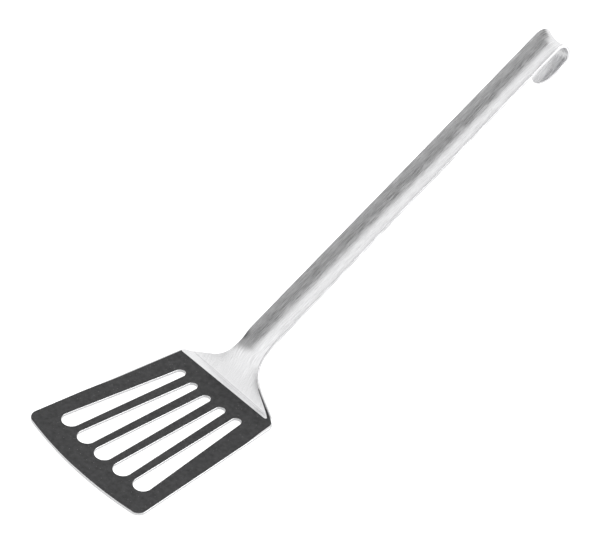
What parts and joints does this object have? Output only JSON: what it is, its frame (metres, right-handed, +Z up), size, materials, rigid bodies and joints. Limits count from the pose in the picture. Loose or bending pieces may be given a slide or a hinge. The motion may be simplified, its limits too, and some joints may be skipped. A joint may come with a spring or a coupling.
{
  "type": "slotted turner",
  "caption": "Slotted fish turner: flared flat blade with a dark non-stick coat, a steep shoulder and neck, and a long channelled steel handle bent into a hanging hook.",
  "frame": {"origin": "in the plane of the blade's underside, below the middle of the turner's whole length and width", "axes": "+X across the blade, +Y from the blade's front edge towards the hanging hook, +Z up from the blade's underside"},
  "size_m": [0.099, 0.354, 0.1526],
  "materials": {
    "stainless_steel": "brushed along the handle's channel, satin on the neck and the edges",
    "nonstick_coat": "matte black non-stick coat with a faint mottle"
  },
  "bodies": {
    "root": {"turner_body": "stainless_steel", "nonstick_coat": "nonstick_coat"}
  },
  "joints": []
}
